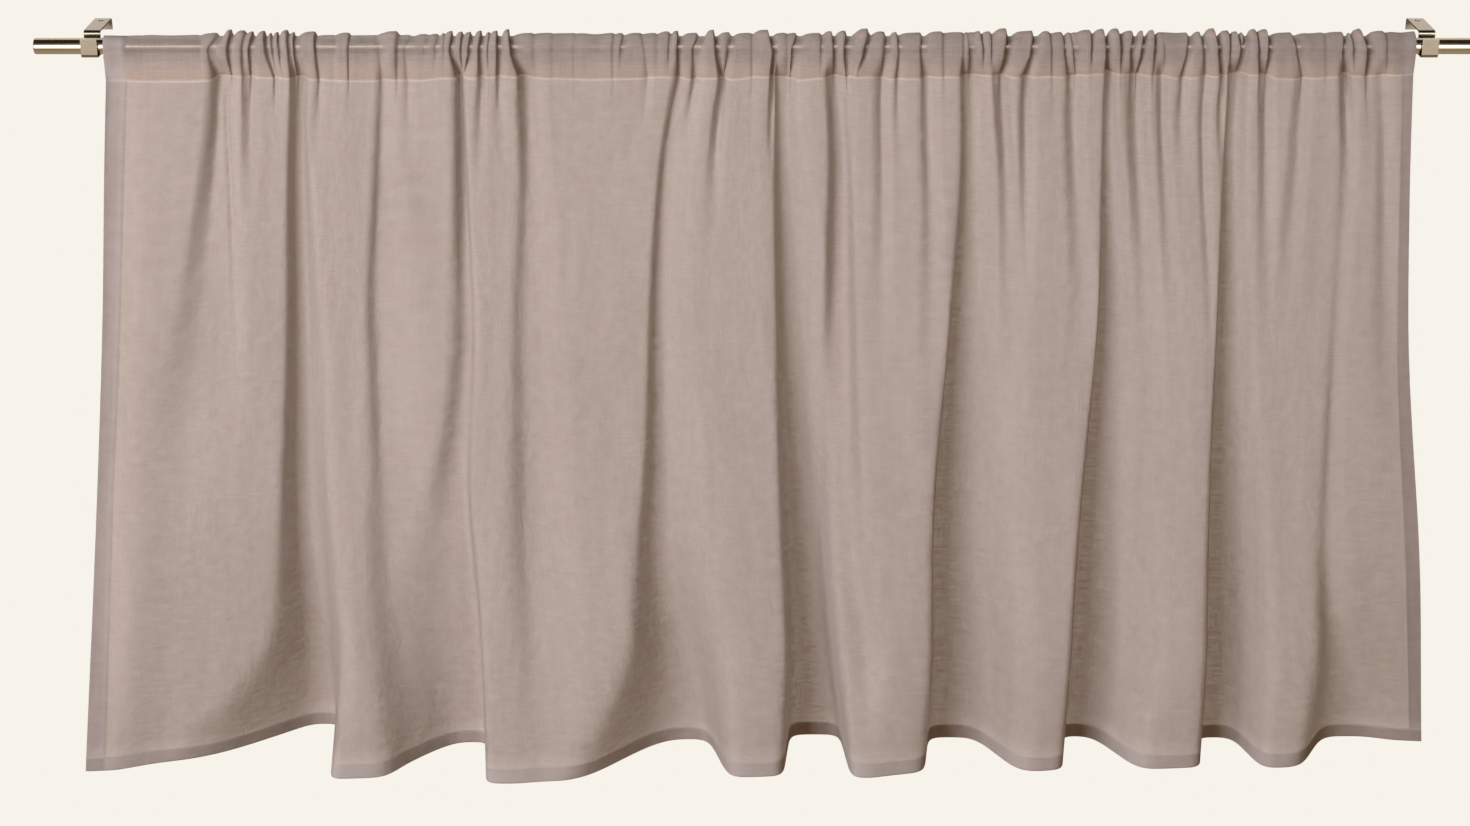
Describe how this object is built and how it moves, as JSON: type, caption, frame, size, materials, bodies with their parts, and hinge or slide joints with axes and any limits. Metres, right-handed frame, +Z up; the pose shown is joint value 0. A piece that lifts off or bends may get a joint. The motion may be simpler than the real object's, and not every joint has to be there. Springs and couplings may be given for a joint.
{
  "type": "window valance on its rod with two strap brackets",
  "caption": "Short semi-sheer linen-look curtain gathered on a thin metal rod by a sewn pocket, held by bent strap brackets that hook over the top of a window sash.",
  "frame": {"origin": "middle of the flat seat under the left bracket's arm, where it lies on the top edge of the sash", "axes": "+X to the right along the rod, -Y the room side that the cloth's front faces, +Z up"},
  "size_m": [1.1183, 0.104, 0.6205],
  "materials": {
    "linen_weave": "semi-sheer, linen-look plain weave with slubs, warm greige, matt",
    "satin_nickel": "satin nickel plate with a warm tint"
  },
  "bodies": {
    "root": {"cloth": "linen_weave", "rod": "satin_nickel", "bracket_left": "satin_nickel", "bracket_right": "satin_nickel"}
  },
  "joints": []
}
